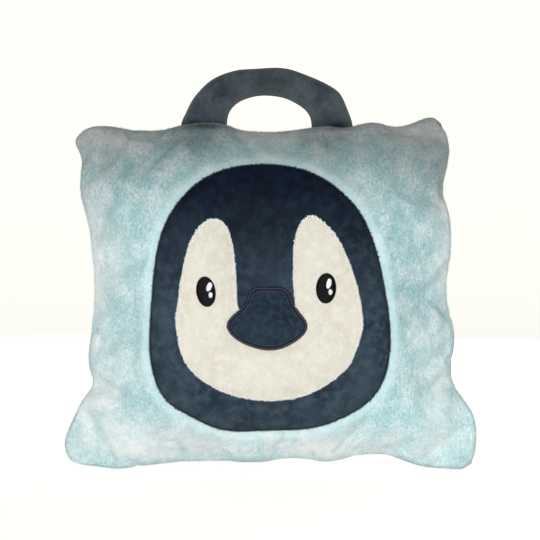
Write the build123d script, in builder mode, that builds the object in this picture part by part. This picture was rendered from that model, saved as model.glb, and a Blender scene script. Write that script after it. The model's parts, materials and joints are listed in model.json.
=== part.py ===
"""Plush penguin cushion with a carrying handle: a zipped plush cover round a loose inner pad,
an appliqued and embroidered penguin face, and a padded handle sewn into the top seam.

Millimetres. +Z is up, the face looks along -Y, and the origin is on the surface that the cushion
stands on, under its middle. The two halves of the cover meet in the seam plane Y = 0."""

import os
from math import asin, cos, degrees, pi, radians, sin

from build123d import *

# ---------------------------------------------------------------- driving dimensions

# Cushion, over the outside of its cover
WAIST = 157.5  # half width at mid height, where the sides pull in
FOOT = 186.0  # half width at the bottom corners, before they are rounded
SHOULDER = 169.0  # half width at the top corners, before they are rounded
SEAM_LOW = -9.0  # the bottom seam, before the floor flattens it
SEAM_HIGH = 301.0  # the top seam, in the middle
EAR_RISE = 9.0  # how far the top corners stand above that
HALF_DEPTH = 52.0
CORNER_SOFTNESS = 0.05  # a larger value rounds the four corners more

# Cloth
PLUSH = 2.5  # backing and pile of the cover
HEAD_CLOTH = 2.0
FACE_CLOTH = 1.8
BEAK_CLOTH = 2.4
CASE_CLOTH = 0.8
PAD_EDGE = 8.5  # the inner pad's outline stops this far inside the cover's
PAD_FRONT = 2.9  # from the front of the cover to the pad
PAD_BACK = 9.2  # from the back of the cover to the pad, leaving room for the zip

# Embroidery
THREAD = 0.7  # height of satin stitch above the cloth that it holds
HEAD_STITCH = 2.6  # widths of the bands of stitching along the edges
FACE_STITCH = 2.6
BEAK_STITCH = 3.2
BEAK_LINE = (4.0, 5.0)  # the thin line inside the beak's border, both its edges
EYE_AT = (53.0, 159.0)
EYE_SIZE = (8.3, 13.2)
EYE_TILT = 7.0
EYE_RELIEF = 0.9
GLINT_RELIEF = 0.5
UPPER_GLINT = (2.5, 4.3, 2.6, 3.9, 20.0)  # offset from the eye, half size, tilt
LOWER_GLINT = (3.9, -2.9, 2.1, 2.3, 0.0)

# Handle
ROOT_Z = 305.0  # where its padded part starts, just above the line it folds about
HANDLE_OUTER = (75.2, 49.4)
HANDLE_INNER = (36.5, 24.6)
HANDLE_HALF_DEPTH = 7.5
HANDLE_ROOT = 1.8  # half depth where it is pinched flat at the seam
HANDLE_CLOTH = 2.0
TAB_Z = (293.6, 302.4)
TAB_HALF_DEPTH = 1.5

# Zip across the lower back
ZIP_Z = 80.0
ZIP_REACH = 116.0  # half length of the coil
ZIP_GAP = 6.0  # half height of the slot between the two edges of plush
COIL_SPLIT = 0.5  # half of the gap that the slider's post runs in
COIL_WIDTH = 2.4
COIL_DEPTH = (0.8, 3.2)  # from and to, below the outside of the plush
TAPE_DEPTH = (3.2, 3.8)
TAPE_WIDTH = 10.0
TAPE_SPARE = 5.0  # how much longer the tapes are than the slot
SLOT_SPARE = 3.0  # how much longer the slot is than the coil and its stops
SLIDER_LENGTH = 12.0
SLIDER_HALF_WIDTH = 4.7
SLIDER_PLATES = ((-0.6, 0.5), (4.1, 5.1))  # depths of the outer and the inner plate
SLIDER_FLANGE = (3.3, 2.8)  # from this far out to the edge, and down to this depth
SLIDER_POST = (0.3, 4.0)  # half thickness, length
SLIDER_REST = 108.0  # distance from the middle when the zip is shut
BRIDGE = (7.0, 0.8, 3.4)  # length, half width, height above the plate
BRIDGE_EYE = (3.6, 2.2)  # the opening under it
PULL = (24.0, 3.0, 0.6)  # length, half width, half thickness
PULL_BAR = 0.8  # half width of the bar that turns in the bridge
PULL_EYE = (3.5, 3.2)  # the opening beyond it, along and across


# ---------------------------------------------------------------- the cushion's shape


def surface_point(theta, phi, inset):
    """Where the outline angles theta, across, and phi, up, land in the seam plane."""
    u, v = sin(theta), sin(phi)
    half_width = WAIST + (SHOULDER - FOOT) / 2 * v + ((SHOULDER + FOOT) / 2 - WAIST) * v**2 - inset
    low, high = SEAM_LOW + inset, SEAM_HIGH + EAR_RISE * u**4 - inset
    return u * half_width, low + (high - low) * (v + 1) / 2


def contour(level, inset):
    """A closed curve of equal padding: level is 0 on the seam and 1 at the fullest point."""
    fullness = CORNER_SOFTNESS + (1 - CORNER_SOFTNESS) * level
    points = []
    for quarter in range(4):
        for step in (0, 14, 26, 34, 40, 45, 50, 56, 64, 76):
            psi = radians(90 * quarter + step)
            near, far = 0.0, pi / 2 / max(abs(cos(psi)), abs(sin(psi)))
            for _ in range(50):
                rho = (near + far) / 2
                if cos(rho * cos(psi)) * cos(rho * sin(psi)) > fullness:
                    near = rho
                else:
                    far = rho
            points.append(surface_point(rho * cos(psi), rho * sin(psi), inset))
    return points


def level_at(x, z):
    """How full the cushion is, 0 on the seam to 1 in the middle, at a point of its face."""
    v = 2 * (z - SEAM_LOW) / (SEAM_HIGH - SEAM_LOW) - 1
    half_width = WAIST + (SHOULDER - FOOT) / 2 * v + ((SHOULDER + FOOT) / 2 - WAIST) * v**2
    fullness = cos(asin(x / half_width)) * cos(asin(v))
    return (fullness - CORNER_SOFTNESS) / (1 - CORNER_SOFTNESS)


def cushion_half(inset, depth, floor):
    """The front half of a cushion shape, whose outline is shrunk by inset all round."""
    with BuildPart() as half:
        for level in (0.0, 0.1, 0.25, 0.45, 0.66, 0.83, 0.94, 0.997):
            with BuildSketch(Plane.XZ.offset(depth * level)):
                with BuildLine():
                    Spline(*contour(level, inset), periodic=True)
                make_face()
        loft()
        with Locations((0, 0, floor - 30)):
            Box(500, 300, 60, mode=Mode.SUBTRACT)
    return half.part


def pushed_out(outline):
    """An outline in the seam plane, as a block that passes through the whole front."""
    with BuildPart() as block:
        with BuildSketch(Plane.XZ):
            add(outline)
        extrude(amount=90.0)
    return block.part


# ---------------------------------------------------------------- outlines of the face


def mirrored_outline(right_side):
    """A closed smooth outline from its right half, bottom to top."""
    left_side = [(-x, z) for x, z in reversed(right_side) if x > 0]
    with BuildSketch() as outline:
        with BuildLine():
            Spline(*right_side, *left_side, periodic=True)
        make_face()
    return outline.sketch


def grown(outline, amount):
    """The same outline with its edge moved outwards by amount."""
    edge = outline.face().outer_wire()
    points = []
    for step in range(24):
        at, along = edge.position_at(step / 24), edge.tangent_at(step / 24)
        points.append((at.X + amount * along.Y, at.Y - amount * along.X))
    with BuildSketch() as moved:
        with BuildLine():
            Spline(*points, periodic=True)
        make_face()
    return moved.sketch


def border(outline, width):
    """A band of stitching just inside the edge of an outline."""
    return grown(outline, -0.1) - grown(outline, -width)


HEAD_SHAPE = mirrored_outline(
    [(0, 35), (60, 44), (89, 62), (102, 88), (105, 127), (99, 176), (91, 209), (76, 235), (48, 259), (0, 269)]
)
FACE_SHAPE = mirrored_outline(
    [
        (0, 62),
        (35, 68),
        (61, 83),
        (77, 107),
        (81, 128),
        (79, 148),
        (72, 181),
        (60, 209),
        (45, 222),
        (32, 212),
        (27, 180),
        (25, 150),
        (0, 134),
    ]
)
BEAK_SHAPE = mirrored_outline(
    [(0, 106), (14, 108.5), (26, 115), (34, 123.5), (34, 134), (24, 145), (17, 156), (10, 160.5), (0, 161)]
)


def ellipse_at(x, z, half_width, half_height, tilt):
    with BuildSketch() as spot:
        with Locations(Location((x, z, 0), (0, 0, tilt))):
            Ellipse(half_width, half_height)
    return spot.sketch


# ---------------------------------------------------------------- cover and inner pad

cover_half = cushion_half(0.0, HALF_DEPTH, 0.0)
lining_half = cushion_half(PLUSH, HALF_DEPTH - PLUSH, PLUSH)
panel = cover_half - lining_half
back = panel.mirror(Plane.XZ)

case_floor = PLUSH + 0.4
fill_edge = PAD_EDGE + CASE_CLOTH
fill_floor = case_floor + CASE_CLOTH
case_front_block = cushion_half(PAD_EDGE, HALF_DEPTH - PAD_FRONT, case_floor)
case_back_block = cushion_half(PAD_EDGE, HALF_DEPTH - PAD_BACK, case_floor).mirror(Plane.XZ)
fill_front_block = cushion_half(fill_edge, HALF_DEPTH - PAD_FRONT - CASE_CLOTH, fill_floor)
fill_back_block = cushion_half(fill_edge, HALF_DEPTH - PAD_BACK - CASE_CLOTH, fill_floor).mirror(Plane.XZ)

# The sewn-in ends of the handle pass up through the top seam
tab_middle = (HANDLE_OUTER[0] + HANDLE_INNER[0]) / 2
tab_length = HANDLE_OUTER[0] - HANDLE_INNER[0] - 2.0
tab_height = TAB_Z[1] - TAB_Z[0]
tab_slots = [
    Pos(side * tab_middle, 0, sum(TAB_Z) / 2) * Box(tab_length, 2 * TAB_HALF_DEPTH, tab_height)
    for side in (-1, 1)
]

with BuildPart() as front_panel:
    add(panel)
    add(tab_slots, mode=Mode.SUBTRACT)
front_panel.part.label = "front_panel"

with BuildPart() as inner_case_front:
    add(case_front_block)
    add(fill_front_block, mode=Mode.SUBTRACT)
inner_case_front.part.label = "inner_case_front"

with BuildPart() as inner_case_back:
    add(case_back_block)
    add(fill_back_block, mode=Mode.SUBTRACT)
inner_case_back.part.label = "inner_case_back"

with BuildPart() as fibre_filling:
    add(fill_front_block)
    add(fill_back_block)
fibre_filling.part.label = "fibre_filling"

with BuildPart() as handle_left_tab:
    add(tab_slots[0])
handle_left_tab.part.label = "handle_left_tab"

with BuildPart() as handle_right_tab:
    add(tab_slots[1])
handle_right_tab.part.label = "handle_right_tab"


# ---------------------------------------------------------------- zip

# The zip follows an arc about a vertical axis that matches the bulge of the back
zip_y = HALF_DEPTH * level_at(0.0, ZIP_Z)
zip_drop = zip_y - HALF_DEPTH * level_at(ZIP_REACH, ZIP_Z)
TRACK_RADIUS = (ZIP_REACH**2 + zip_drop**2) / (2 * zip_drop)
TRACK_AXIS = Axis((0, zip_y - TRACK_RADIUS, 0), (0, 0, 1))
lean_rise = HALF_DEPTH * (level_at(0.0, ZIP_Z + 1) - level_at(0.0, ZIP_Z - 1)) / 2
LEAN = asin(lean_rise)
ZIP_PLANE = Plane(origin=(0, zip_y, ZIP_Z), x_dir=(0, cos(LEAN), -sin(LEAN)), z_dir=(1, 0, 0))
REACH_ANGLE = degrees(asin(ZIP_REACH / TRACK_RADIUS))
REST_ANGLE = degrees(asin(SLIDER_REST / TRACK_RADIUS))


def strip(depth_from, depth_to, up_from, up_to, middle, length):
    """A bar along the track: its section by depth and height, its middle as an angle, its length."""
    angle = degrees(length / TRACK_RADIUS)
    with BuildPart() as bar:
        with BuildSketch(ZIP_PLANE):
            with Locations((-(depth_from + depth_to) / 2, (up_from + up_to) / 2)):
                Rectangle(depth_to - depth_from, up_to - up_from)
        revolve(axis=TRACK_AXIS, revolution_arc=angle)
    return bar.part.rotate(TRACK_AXIS, middle - angle / 2)


full_length = 2 * radians(REACH_ANGLE) * TRACK_RADIUS
slot = strip(-8.0, 8.0, -ZIP_GAP, ZIP_GAP, 0.0, full_length + SLOT_SPARE)
coil_far = COIL_SPLIT + COIL_WIDTH
stop_angle = degrees((SLIDER_LENGTH / 2 + 1.6) / TRACK_RADIUS)

with BuildPart() as back_panel_upper:
    add(back)
    split(bisect_by=Plane.XY.offset(ZIP_Z), keep=Keep.TOP)
    add(slot, mode=Mode.SUBTRACT)
    add(tab_slots, mode=Mode.SUBTRACT)
back_panel_upper.part.label = "back_panel_upper"

with BuildPart() as back_panel_lower:
    add(back)
    split(bisect_by=Plane.XY.offset(ZIP_Z), keep=Keep.BOTTOM)
    add(slot, mode=Mode.SUBTRACT)
back_panel_lower.part.label = "back_panel_lower"

with BuildPart() as zip_tape_upper:
    add(strip(*TAPE_DEPTH, COIL_SPLIT + 0.3, TAPE_WIDTH, 0.0, full_length + SLOT_SPARE + TAPE_SPARE))
zip_tape_upper.part.label = "zip_tape_upper"

with BuildPart() as zip_tape_lower:
    add(strip(*TAPE_DEPTH, -TAPE_WIDTH, -COIL_SPLIT - 0.3, 0.0, full_length + SLOT_SPARE + TAPE_SPARE))
zip_tape_lower.part.label = "zip_tape_lower"

with BuildPart() as zip_coil_upper:
    add(strip(*COIL_DEPTH, COIL_SPLIT, coil_far, 0.0, full_length - 8))
zip_coil_upper.part.label = "zip_coil_upper"

with BuildPart() as zip_coil_lower:
    add(strip(*COIL_DEPTH, -coil_far, -COIL_SPLIT, 0.0, full_length - 8))
zip_coil_lower.part.label = "zip_coil_lower"

# Metal stops clamped over the coils at both ends
with BuildPart() as zip_shut_stop:
    add(strip(0.0, COIL_DEPTH[0], -coil_far, coil_far, REST_ANGLE + stop_angle, 2.4))
zip_shut_stop.part.label = "zip_shut_stop"

with BuildPart() as zip_open_stop:
    add(strip(0.0, COIL_DEPTH[0], -coil_far, coil_far, -REST_ANGLE - stop_angle, 2.4))
zip_open_stop.part.label = "zip_open_stop"

with BuildPart() as zip_slider:
    for depths in SLIDER_PLATES:
        add(strip(*depths, -SLIDER_HALF_WIDTH, SLIDER_HALF_WIDTH, REST_ANGLE, SLIDER_LENGTH))
    add(strip(0.0, 4.5, -SLIDER_POST[0], SLIDER_POST[0], REST_ANGLE, SLIDER_POST[1]))
    for low, high in ((-SLIDER_HALF_WIDTH, -SLIDER_FLANGE[0]), (SLIDER_FLANGE[0], SLIDER_HALF_WIDTH)):
        add(strip(0.0, SLIDER_FLANGE[1], low, high, REST_ANGLE, SLIDER_LENGTH))
    add(strip(-0.5 - BRIDGE[2], 0.0, -BRIDGE[1], BRIDGE[1], REST_ANGLE, BRIDGE[0]))
    eye_block = strip(-0.6 - BRIDGE_EYE[1], -0.6, -2.0, 2.0, REST_ANGLE, BRIDGE_EYE[0])
    add(eye_block, mode=Mode.SUBTRACT)
zip_slider.part.label = "zip_slider"

# The pull is drawn lying along the track, with its bar through the bridge
PIN_DEPTH = -0.6 - BRIDGE_EYE[1] / 2
PULL_PLANE = Plane(
    origin=ZIP_PLANE.from_local_coords((-PIN_DEPTH, 0, 0)),
    x_dir=(1, 0, 0),
    z_dir=ZIP_PLANE.x_dir,
)
with BuildPart() as pull_flat:
    with BuildSketch(PULL_PLANE):
        with Locations((PULL[0] / 2 - PULL_BAR, 0)):
            SlotOverall(PULL[0], 2 * PULL[1])
        with Locations((PULL_BAR + PULL_EYE[0] / 2, 0)):
            Rectangle(*PULL_EYE, mode=Mode.SUBTRACT)
        with Locations((PULL[0] - 5.0, 0)):
            Circle(1.2, mode=Mode.SUBTRACT)
    extrude(amount=PULL[2], both=True)

with BuildPart() as zip_pull:
    add(pull_flat.part.rotate(TRACK_AXIS, REST_ANGLE))
zip_pull.part.label = "zip_pull"


# ---------------------------------------------------------------- face


def front_point(x, z):
    return x, -HALF_DEPTH * level_at(x, z) - 0.1, z


front_surface = Face.make_surface_from_array_of_points(
    [[front_point(115 * i / 6, 25 + 255 * j / 12) for j in range(13)] for i in range(-6, 7)]
)


def layer(outline, low, high):
    """Cloth or thread within an outline, from one height above the cover to another."""
    patch = front_surface.intersect(pushed_out(outline))[0]
    with BuildPart() as slab:
        extrude(Pos(0, -low, 0) * patch, amount=high - low, dir=(0, -1, 0))
    return slab.part


on_head = HEAD_CLOTH
on_face = on_head + FACE_CLOTH
on_beak = on_face + BEAK_CLOTH
on_eye = on_face + EYE_RELIEF

with BuildPart() as head_applique:
    add(layer(HEAD_SHAPE, 0.0, on_head))
head_applique.part.label = "head_applique"

with BuildPart() as head_edge_stitching:
    add(layer(border(HEAD_SHAPE, HEAD_STITCH), on_head, on_head + THREAD))
head_edge_stitching.part.label = "head_edge_stitching"

with BuildPart() as face_applique:
    add(layer(FACE_SHAPE, on_head, on_face))
face_applique.part.label = "face_applique"

with BuildPart() as face_edge_stitching:
    add(layer(border(FACE_SHAPE, FACE_STITCH), on_face, on_face + THREAD))
    add(pushed_out(BEAK_SHAPE), mode=Mode.SUBTRACT)
face_edge_stitching.part.label = "face_edge_stitching"

# The beak lies on the face and bridges the notch between its two lobes
with BuildPart() as beak_applique:
    add(layer(BEAK_SHAPE, on_face, on_beak))
beak_applique.part.label = "beak_applique"

with BuildPart() as beak_border_stitching:
    add(layer(border(BEAK_SHAPE, BEAK_STITCH), on_beak, on_beak + THREAD))
beak_border_stitching.part.label = "beak_border_stitching"

with BuildPart() as beak_inner_stitching:
    add(layer(grown(BEAK_SHAPE, -BEAK_LINE[0]) - grown(BEAK_SHAPE, -BEAK_LINE[1]), on_beak, on_beak + THREAD))
beak_inner_stitching.part.label = "beak_inner_stitching"

embroidered = []
for name, side in (("left_eye", -1), ("right_eye", 1)):
    centre_x = side * EYE_AT[0]
    eye = ellipse_at(centre_x, EYE_AT[1], *EYE_SIZE, -side * EYE_TILT)
    embroidered.append((name, layer(eye, on_face, on_eye)))
    for position, glint in (("upper", UPPER_GLINT), ("lower", LOWER_GLINT)):
        spot = ellipse_at(centre_x + glint[0], EYE_AT[1] + glint[1], *glint[2:])
        embroidered.append((f"{name}_{position}_highlight", layer(spot, on_eye, on_eye + GLINT_RELIEF)))


# ---------------------------------------------------------------- handle


def ellipse_reach(half_sizes, angle):
    """Distance from the middle of an ellipse to its edge."""
    return 1 / ((cos(angle) / half_sizes[0]) ** 2 + (sin(angle) / half_sizes[1]) ** 2) ** 0.5


def arch_point(angle, around, shrink):
    """A point on the front of the padded arch: angle goes over it, around crosses it."""
    outer, inner = ellipse_reach(HANDLE_OUTER, angle), ellipse_reach(HANDLE_INNER, angle)
    swell = sin(1.8 * min(angle, pi - angle, radians(50)))
    half_depth = HANDLE_ROOT + (HANDLE_HALF_DEPTH - HANDLE_ROOT) * swell
    half_depth -= min(shrink, 0.6 * half_depth)
    reach = (outer + inner) / 2 + ((outer - inner) / 2 - shrink) * cos(around)
    fullness = (sin(around) - CORNER_SOFTNESS) / (1 - CORNER_SOFTNESS)
    return reach * cos(angle), -half_depth * fullness, ROOT_Z + reach * sin(angle)


def arch_half(shrink):
    """The front half of the padded arch, shrunk by this much all round."""
    grid = [[arch_point(pi * i / 20, pi * j / 12, shrink) for j in range(13)] for i in range(21)]
    with BuildPart() as half:
        extrude(Face.make_surface_from_array_of_points(grid), amount=30.0, dir=(0, 1, 0))
        with Locations((0, 50, ROOT_Z)):
            Box(300, 100, 300, mode=Mode.SUBTRACT)
    return half.part


arch_front = arch_half(0.0)
core_front = arch_half(HANDLE_CLOTH)
handle_cover = arch_front - core_front

with BuildPart() as handle_padding:
    add(core_front)
    add(core_front.mirror(Plane.XZ))
handle_padding.part.label = "handle_padding"

with BuildPart() as handle_front_cover:
    add(handle_cover)
handle_front_cover.part.label = "handle_front_cover"

with BuildPart() as handle_back_cover:
    add(handle_cover.mirror(Plane.XZ))
handle_back_cover.part.label = "handle_back_cover"


# ---------------------------------------------------------------- files

os.makedirs("parts", exist_ok=True)
export_step(front_panel.part, "parts/front_panel.step")
export_step(back_panel_upper.part, "parts/back_panel_upper.step")
export_step(back_panel_lower.part, "parts/back_panel_lower.step")
export_step(inner_case_front.part, "parts/inner_case_front.step")
export_step(inner_case_back.part, "parts/inner_case_back.step")
export_step(fibre_filling.part, "parts/fibre_filling.step")
export_step(head_applique.part, "parts/head_applique.step")
export_step(head_edge_stitching.part, "parts/head_edge_stitching.step")
export_step(face_applique.part, "parts/face_applique.step")
export_step(face_edge_stitching.part, "parts/face_edge_stitching.step")
export_step(beak_applique.part, "parts/beak_applique.step")
export_step(beak_border_stitching.part, "parts/beak_border_stitching.step")
export_step(beak_inner_stitching.part, "parts/beak_inner_stitching.step")
for name, shape in embroidered:
    shape.label = name
    export_step(shape, f"parts/{name}.step")
export_step(handle_left_tab.part, "parts/handle_left_tab.step")
export_step(handle_right_tab.part, "parts/handle_right_tab.step")
export_step(handle_padding.part, "parts/handle_padding.step")
export_step(handle_front_cover.part, "parts/handle_front_cover.step")
export_step(handle_back_cover.part, "parts/handle_back_cover.step")
export_step(zip_tape_upper.part, "parts/zip_tape_upper.step")
export_step(zip_tape_lower.part, "parts/zip_tape_lower.step")
export_step(zip_coil_upper.part, "parts/zip_coil_upper.step")
export_step(zip_coil_lower.part, "parts/zip_coil_lower.step")
export_step(zip_shut_stop.part, "parts/zip_shut_stop.step")
export_step(zip_open_stop.part, "parts/zip_open_stop.step")
export_step(zip_slider.part, "parts/zip_slider.step")
export_step(zip_pull.part, "parts/zip_pull.step")
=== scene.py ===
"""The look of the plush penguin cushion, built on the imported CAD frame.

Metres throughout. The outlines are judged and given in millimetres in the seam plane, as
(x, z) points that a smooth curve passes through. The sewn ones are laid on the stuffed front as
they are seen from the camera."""

import json
from math import atan, cos, pi, radians, sin, sqrt

import bpy
import numpy as np
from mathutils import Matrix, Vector, geometry, kdtree
from mathutils.bvhtree import BVHTree


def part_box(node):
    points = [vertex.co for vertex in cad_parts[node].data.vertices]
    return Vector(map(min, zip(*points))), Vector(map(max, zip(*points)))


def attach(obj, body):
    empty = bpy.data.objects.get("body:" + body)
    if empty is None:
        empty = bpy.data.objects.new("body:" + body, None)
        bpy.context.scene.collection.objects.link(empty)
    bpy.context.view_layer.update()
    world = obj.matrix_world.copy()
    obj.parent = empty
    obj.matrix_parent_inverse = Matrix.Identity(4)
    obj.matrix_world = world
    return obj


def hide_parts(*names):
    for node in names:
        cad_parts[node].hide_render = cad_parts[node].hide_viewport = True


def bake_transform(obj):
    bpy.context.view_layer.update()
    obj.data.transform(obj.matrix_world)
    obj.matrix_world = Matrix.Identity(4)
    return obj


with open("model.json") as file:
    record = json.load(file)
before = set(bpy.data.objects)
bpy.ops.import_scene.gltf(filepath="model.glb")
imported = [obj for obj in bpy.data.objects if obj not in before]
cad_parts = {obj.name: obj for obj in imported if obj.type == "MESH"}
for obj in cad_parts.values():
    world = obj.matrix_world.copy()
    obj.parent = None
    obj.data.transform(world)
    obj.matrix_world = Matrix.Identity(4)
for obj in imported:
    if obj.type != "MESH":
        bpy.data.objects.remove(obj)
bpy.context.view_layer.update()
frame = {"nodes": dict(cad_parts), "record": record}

MM = 0.001


def joint(name):
    """A joint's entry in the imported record."""
    return next(j for j in frame["record"]["behaviour"]["joints"] if j["name"] == name)


# ---------------------------------------------------------------- camera

VIEW_WIDTH = 0.4752  # width of the view at the seam plane
EYE = Vector((0.0022, -1.25, 0.1764))
FRONT_DEPTH = 0.052  # half thickness of the stuffed cushion

# ---------------------------------------------------------------- outlines, in millimetres

# The cushion's seam, side by side. Left and right run upwards, bottom and top to the right.
SEAM_LEFT = [
    (-174, 9), (-178.5, 18), (-179.6, 25), (-175.6, 38), (-166.8, 56), (-160, 68), (-155.5, 77),
    (-157.6, 90), (-158.3, 108), (-155.6, 135), (-154.6, 164), (-157.4, 200), (-161.7, 227),
    (-164.4, 240), (-164.6, 260), (-167.5, 281), (-170, 288), (-166.8, 294.4),
]
SEAM_RIGHT = [
    (180.5, 5.5), (183.8, 19), (184.4, 30), (183.5, 42), (179.3, 54), (174, 62), (168, 72), (164, 80),
    (163.2, 91), (165.4, 114), (162.6, 137), (159.6, 151), (160.8, 176), (162, 205), (160, 225),
    (156.6, 239), (156, 248), (158.8, 270), (158.3, 292), (153.2, 305.8),
]
SEAM_BOTTOM = [
    (-174, 9), (-167, 5.7), (-152, 3.3), (-126, 1.4), (-112, 2.6), (-79, 5.4), (-24, 6), (1, 6.4),
    (25, 9), (42, 7), (55, 6.8), (88, 12.6), (108, 11), (130, 4.6), (146, 1.6), (160, 0.4),
    (172, 0.5), (180.5, 5.5),
]
SEAM_TOP = [
    (-166.8, 294.4), (-161.7, 299.3), (-155.3, 302.5), (-146.5, 303.8), (-130, 302.4), (-92, 302),
    (-75.5, 305), (-55, 307), (-34.8, 305.2), (-21.8, 301.7), (-5.7, 300.3), (10, 300.5), (31, 303),
    (55, 304.6), (74.4, 305), (92.7, 307.6), (110.4, 304.9), (128.6, 307.6), (142, 311.8),
    (148.7, 310.3), (153.2, 305.8),
]
HEAD = [
    (1, 269), (17, 267.5), (38, 262), (67, 243), (81, 227), (90, 209), (97, 188), (102.5, 161.5),
    (106.6, 136), (107.7, 119), (106.6, 98), (101.6, 79), (90, 62), (69, 48), (51, 40.5), (27, 36.3),
    (0, 35.5), (-25, 34.8), (-46.5, 38), (-67.6, 48), (-86, 59), (-95.5, 72), (-101, 88.5),
    (-103.4, 106), (-103, 127.5), (-101.6, 152), (-99.4, 176), (-96, 197.5), (-89.6, 217), (-79, 235),
    (-64.3, 250.5), (-44.8, 262), (-22, 267.8),
]
FACE = [
    (40, 223.4), (33.4, 221), (28.3, 213.5), (25, 202), (23.8, 189), (23.8, 176), (24.2, 161),
    (24, 140), (0, 128), (-26, 140), (-28, 155), (-28.6, 165), (-29.5, 181), (-31.8, 197.5),
    (-35, 209), (-40, 217.8), (-46.5, 220.5), (-54.6, 217.8), (-63, 209), (-68.4, 197.6),
    (-72.6, 181), (-75.7, 165), (-78, 147), (-79.8, 130.7), (-78, 117.5), (-75.8, 106), (-70.8, 94.8),
    (-61, 83.5), (-48, 74.5), (-33.4, 68.2), (-17, 64), (0, 62.3), (14, 63), (31.7, 66.4), (46.2, 73),
    (61, 83.5), (72.3, 94.8), (77, 106), (80.5, 116), (83, 127.4), (82, 140), (79.6, 155),
    (75.6, 169.8), (71.5, 181), (67.3, 191), (61, 204), (52.8, 213.7), (46.2, 220),
]
BEAK = [
    (0, 161), (12.5, 160.6), (18, 157.6), (20.6, 151.5), (23.6, 145.5), (28.4, 138.5), (33.3, 132),
    (34.8, 126.5), (32, 120), (25, 114), (13.6, 108), (0.8, 106), (-12.2, 108.4), (-25.3, 114.2),
    (-33, 121), (-35.6, 127), (-33.6, 132.5), (-27.4, 138.8), (-21.4, 145), (-17.6, 151.5),
    (-14.8, 158), (-10.4, 160.6),
]
HANDLE_OUTER = [
    (-75.5, 292), (-75.7, 306), (-71.9, 314.6), (-66.6, 325.2), (-59.1, 334.8), (-49.7, 343.3),
    (-37.8, 349.1), (-24.2, 352.6), (-11.2, 353.4), (2.7, 354.3), (18.7, 353.2), (31.2, 349.1),
    (44.3, 343.8), (55.9, 337.9), (62.9, 332.6), (67, 326), (70.8, 316.6), (74.7, 305), (75, 292),
]
HANDLE_INNER = [
    (-36, 292), (-35.5, 306), (-34, 314), (-30.5, 319.5), (-26, 323.4), (-17.6, 327.3), (-6.9, 329.6),
    (4.8, 329.4), (15.4, 327.3), (26, 322.3), (33.6, 316.6), (37.6, 310.2), (38.6, 305), (39, 292),
]
# Centre, half sizes and lean of each embroidered eye and of the two glints in it
EYES = {
    "left_eye": [
        ((-54.2, 157.3), (8.2, 13.2), 8),
        ((-51.5, 161.6), (2.9, 4.1), -20),
        ((-50.2, 154.4), (2.2, 2.4), 0),
    ],
    "right_eye": [
        ((51.6, 160.3), (8.6, 13.1), -3),
        ((53.9, 164.5), (2.9, 4.5), -12),
        ((55.3, 157.0), (2.2, 2.4), 0),
    ],
}

# Where the nap is brushed pale or dark, and the painted shadow at the handle's feet: x, z, half width,
# half height, amount
PALE_NAP = [
    (-162, 165, 22, 90, 0.9), (-130, 190, 16, 26, 0.3), (-150, 62, 30, 24, 0.6),
    (-100, 26, 60, 18, 0.85), (60, 22, 95, 15, 0.85), (157, 205, 15, 95, 0.6), (150, 60, 20, 30, 0.5),
    (-4, 296, 26, 12, 0.8), (-140, 292, 34, 14, 0.7), (56, 300, 18, 8, 0.5), (130, 298, 34, 14, 0.7),
    (-128, 100, 12, 18, 0.3), (132, 120, 14, 22, 0.3),
]
DARK_NAP_AND_SHADE = [
    (-62, 290, 26, 14, 0.45), (50, 288, 16, 13, 0.5), (110, 272, 40, 24, 0.25),
    (150, 262, 20, 40, 0.22), (-112, 128, 18, 26, 0.10), (118, 150, 12, 60, 0.10),
    (-118, 268, 50, 12, 0.14), (4, 341, 20, 9, 0.55), (-38, 331, 10, 8, 0.45),
    # The patches at (-54, 303) and (57, 303) are painted shadow at the handle's feet, where the band goes
    # into the seam.
    (-8, 215, 26, 40, 0.25), (2, 112, 24, 7, 0.15), (-54, 303, 24, 4.5, 0.85),
    (57, 303, 22, 4.5, 0.85),
]

# ---------------------------------------------------------------- curves and outlines


def spline(points, count, closed=False):
    """Evenly spaced points, in metres, along the smooth curve through the given ones."""
    p = np.array(points, float) * MM
    if closed:
        p = np.vstack([p, p[:1]])
    n = len(p)
    t = np.concatenate([[0], np.cumsum(np.linalg.norm(np.diff(p, axis=0), axis=1))])
    h = np.diff(t)
    slope = np.diff(p, axis=0) / h[:, None]
    system, right = np.eye(n), np.zeros_like(p)
    for i in range(1, n - 1):
        system[i, i - 1 : i + 2] = h[i - 1], 2 * (h[i - 1] + h[i]), h[i]
        right[i] = 6 * (slope[i] - slope[i - 1])
    if closed:
        system[0, :] = 0
        system[0, [0, 1, n - 2]] = 2 * (h[0] + h[-1]), h[0], h[-1]
        right[0] = 6 * (slope[0] - slope[-1])
        system[n - 1, 0] = -1
    bend = np.linalg.solve(system, right)
    fine = np.linspace(0, t[-1], 30 * n)
    i = np.clip(np.searchsorted(t, fine, side="right") - 1, 0, n - 2)
    a, b = (t[i + 1] - fine) / h[i], (fine - t[i]) / h[i]
    curve = a[:, None] * p[i] + b[:, None] * p[i + 1]
    curve += ((a**3 - a)[:, None] * bend[i] + (b**3 - b)[:, None] * bend[i + 1]) * (h[i] ** 2)[:, None] / 6
    reach = np.concatenate([[0], np.cumsum(np.linalg.norm(np.diff(curve, axis=0), axis=1))])
    wanted = np.linspace(0, reach[-1], count + 1 if closed else count)[:count]
    return np.column_stack([np.interp(wanted, reach, curve[:, k]) for k in (0, 1)])


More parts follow.
